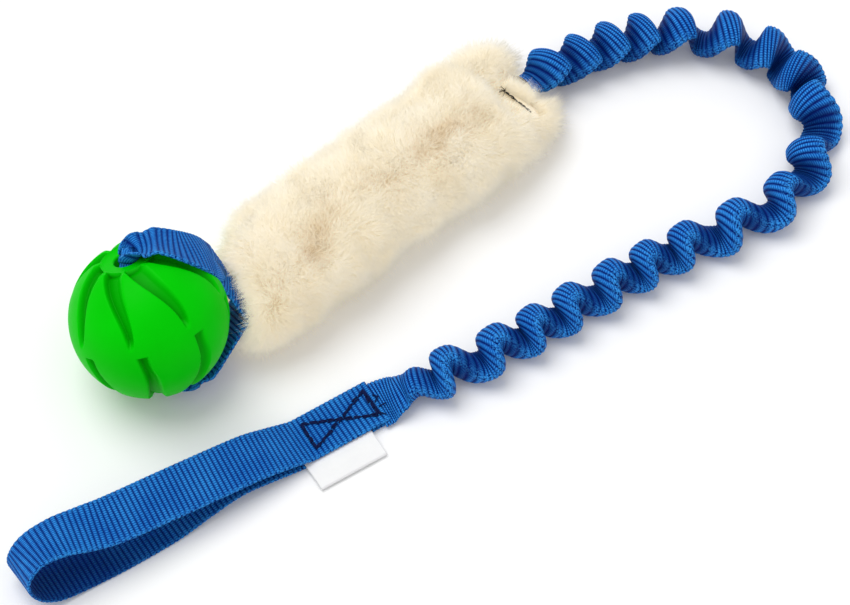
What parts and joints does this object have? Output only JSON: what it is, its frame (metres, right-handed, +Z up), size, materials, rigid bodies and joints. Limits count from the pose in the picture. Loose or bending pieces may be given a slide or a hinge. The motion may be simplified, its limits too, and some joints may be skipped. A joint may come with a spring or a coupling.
{
  "type": "ball tug toy",
  "caption": "Dog tug toy: a soft treat ball on a webbing loop, a sheepskin sleeve, a gathered bungee lead and a webbing hand loop.",
  "frame": {"origin": "middle of the underside of the box-stitched webbing, on the floor", "axes": "+X along the handle from the hand loop to the bungee, +Z up off the floor, +Y towards the ball and the sleeve"},
  "size_m": [0.3926, 0.1318, 0.0696],
  "materials": {
    "soft_rubber": "smooth satin green",
    "webbing": "ribbed royal blue webbing",
    "sheepskin": "cream wool pile on a pale hide",
    "dark_thread": "matt thread",
    "navy_thread": "matt navy thread",
    "elastic": "plain elastic cord",
    "label_tape": "smooth white tape, bare"
  },
  "bodies": {
    "sleeve": {"sheepskin_sleeve": "sheepskin", "core_strap_upper": "webbing", "core_strap_lower": "webbing", "neck_tack": "dark_thread"},
    "ball_strap": {"ball_loop": "webbing"},
    "ball": {"ball": "soft_rubber"},
    "bungee": {"bungee_cover": "webbing", "elastic_cord": "elastic"},
    "lead_end": {"lead_tail": "webbing"},
    "handle": {"handle_webbing": "webbing", "box_stitch": "navy_thread", "label": "label_tape"}
  },
  "joints": [
    {"name": "loop_swing", "type": "hinge", "parent": "sleeve", "child": "ball_strap", "pos_m": [-0.01204, 0.05643, 0.02293], "axis": [0.0138, 0.848, -0.5299], "range_deg": [-33, 33]},
    {"name": "ball_spin", "type": "hinge", "parent": "ball_strap", "child": "ball", "pos_m": [-0.0477, 0.0638, 0.0338], "axis": [0, 0.5299, 0.848], "continuous": true},
    {"name": "bungee_swing", "type": "hinge", "parent": "sleeve", "child": "bungee", "pos_m": [0.14513, 0.08915, 0.01382], "axis": [0, 0, 1], "range_deg": [-4, 60]},
    {"name": "bungee_stretch", "type": "slide", "parent": "bungee", "child": "lead_end", "axis": [-1, 0, 0], "range_m": [0, 0.15], "stiffness_N_per_m": 200, "deforming": ["bungee_cover", "elastic_cord"]},
    {"name": "handle_bend", "type": "hinge", "parent": "lead_end", "child": "handle", "pos_m": [0.0193, 0, 0.00205], "axis": [0, 1, 0], "range_deg": [-85, 85]}
  ]
}
